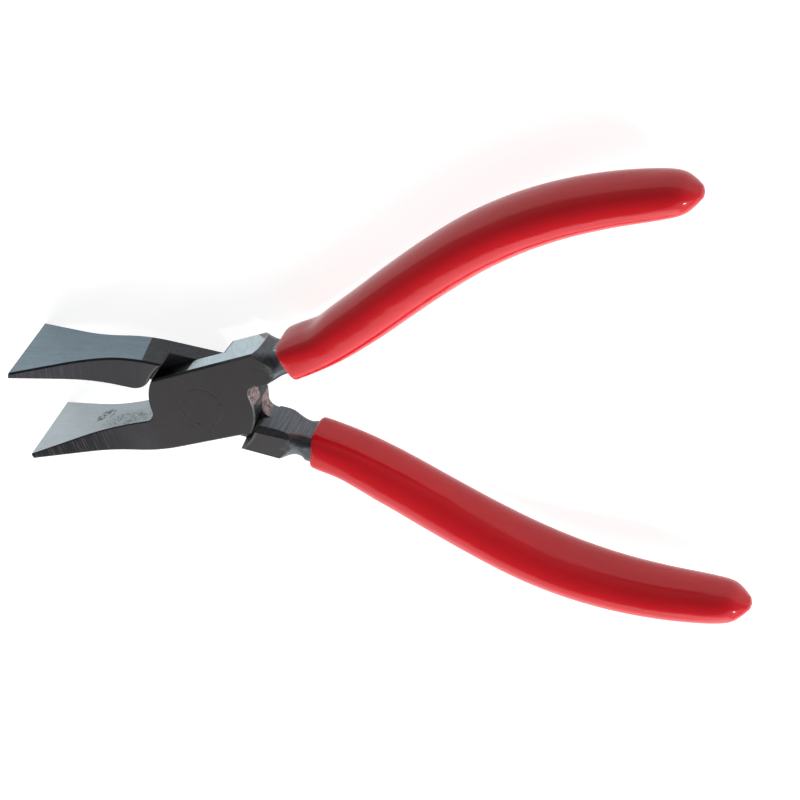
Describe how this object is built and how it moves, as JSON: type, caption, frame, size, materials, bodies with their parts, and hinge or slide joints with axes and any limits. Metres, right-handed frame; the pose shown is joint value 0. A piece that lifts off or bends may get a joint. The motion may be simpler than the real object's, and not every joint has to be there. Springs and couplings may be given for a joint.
{
  "type": "wide flat-nose pliers",
  "caption": "Lap-joint hand pliers with wide flared flat jaws, shown open, and dipped plastic sleeves on the handles.",
  "frame": {"origin": "where the pivot axis meets the rear joint face", "axes": "+Z along the pivot axis towards the front joint face, +X towards the handles, +Y towards the front half's handle"},
  "size_m": [0.1698, 0.1176, 0.0223],
  "materials": {
    "forged_steel": "dark oiled forging steel, satin, with ground faces",
    "rivet_steel": "dark steel, ground flush",
    "dipped_plastic": "glossy soft dipped vinyl"
  },
  "bodies": {
    "front": {"front_half": "forged_steel", "pivot_rivet": "rivet_steel", "upper_sleeve": "dipped_plastic"},
    "rear": {"rear_half": "forged_steel", "lower_sleeve": "dipped_plastic"}
  },
  "joints": [
    {"name": "jaw_pivot", "type": "hinge", "parent": "front", "child": "rear", "pos_m": [0, 0, 0.00515], "axis": [0, 0, 1], "range_deg": [-55, 27.2]}
  ]
}
